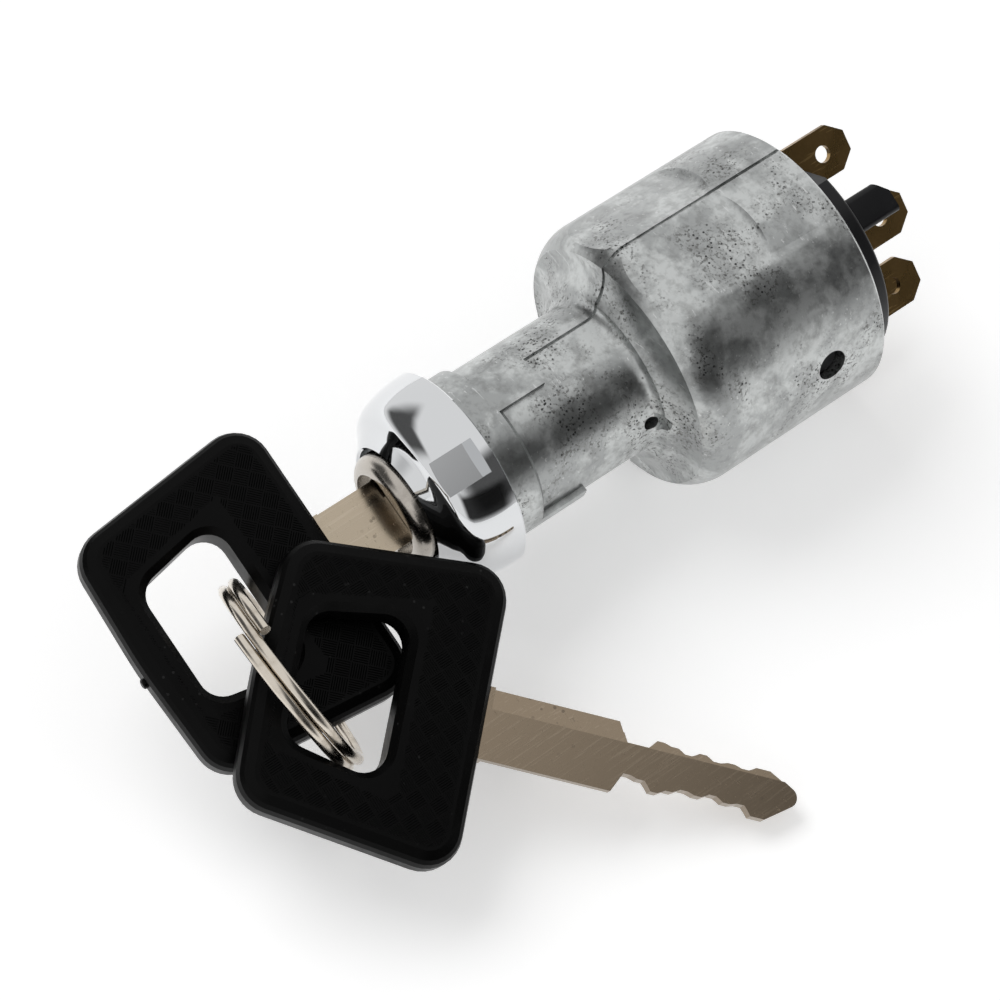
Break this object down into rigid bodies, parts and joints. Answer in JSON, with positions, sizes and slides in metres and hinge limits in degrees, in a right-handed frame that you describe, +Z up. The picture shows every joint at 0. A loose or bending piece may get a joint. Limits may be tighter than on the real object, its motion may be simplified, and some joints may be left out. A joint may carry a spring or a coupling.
{
  "type": "ignition switch",
  "caption": "Key-operated ignition switch with a cast housing, chrome bezel nut, blade terminals, a key in the lock and a spare key on a split ring.",
  "frame": {"origin": "where the lock axis meets the panel seat, the rear face of the bezel nut", "axes": "+Y along the lock axis from the key to the tabs, +Z up as the switch lies on a table, +X to the right seen from the key"},
  "size_m": [0.0726, 0.1125, 0.0366],
  "materials": {
    "zinc": "satin casting",
    "chrome": "bright plate",
    "black_moulding": "semi-matte",
    "brass": "dull",
    "nickel": "satin plate",
    "spring_steel": "bright",
    "pale_moulding": "matte",
    "black_head": "hatched faces with a smooth border"
  },
  "bodies": {
    "switch": {"housing": "zinc", "bezel_nut": "chrome", "contact_base": "black_moulding", "supply_tab": "brass", "ignition_tab": "brass", "starter_tab": "brass", "accessory_tab": "brass"},
    "plug": {"lock_plug": "nickel", "wafer_1": "brass", "wafer_2": "brass", "wafer_3": "brass", "wafer_4": "brass", "wafer_5": "brass", "wafer_6": "brass", "wafer_springs": "spring_steel", "latch_spring": "spring_steel", "rotor": "pale_moulding", "contact_bridge": "brass", "contact_springs": "spring_steel", "detent_ball": "spring_steel", "detent_spring": "spring_steel", "return_spring": "spring_steel"},
    "latch": {"plug_latch": "brass"},
    "keys": {"key_blade": "nickel", "key_head": "black_head", "split_ring": "spring_steel", "spare_blade": "nickel", "spare_head": "black_head"}
  },
  "joints": [
    {"name": "key_turn", "type": "hinge", "parent": "switch", "child": "plug", "pos_m": [0, 0, 0], "axis": [0, 1, 0], "range_deg": [0, 90], "deforming": ["return_spring"]},
    {"name": "key_slide", "type": "slide", "parent": "plug", "child": "keys", "axis": [0, -1, 0], "range_m": [0, 0.036]},
    {"name": "latch_push", "type": "slide", "parent": "plug", "child": "latch", "axis": [-0.5358, 0, -0.8443], "range_m": [0, 0.0009], "deforming": ["latch_spring"]}
  ]
}
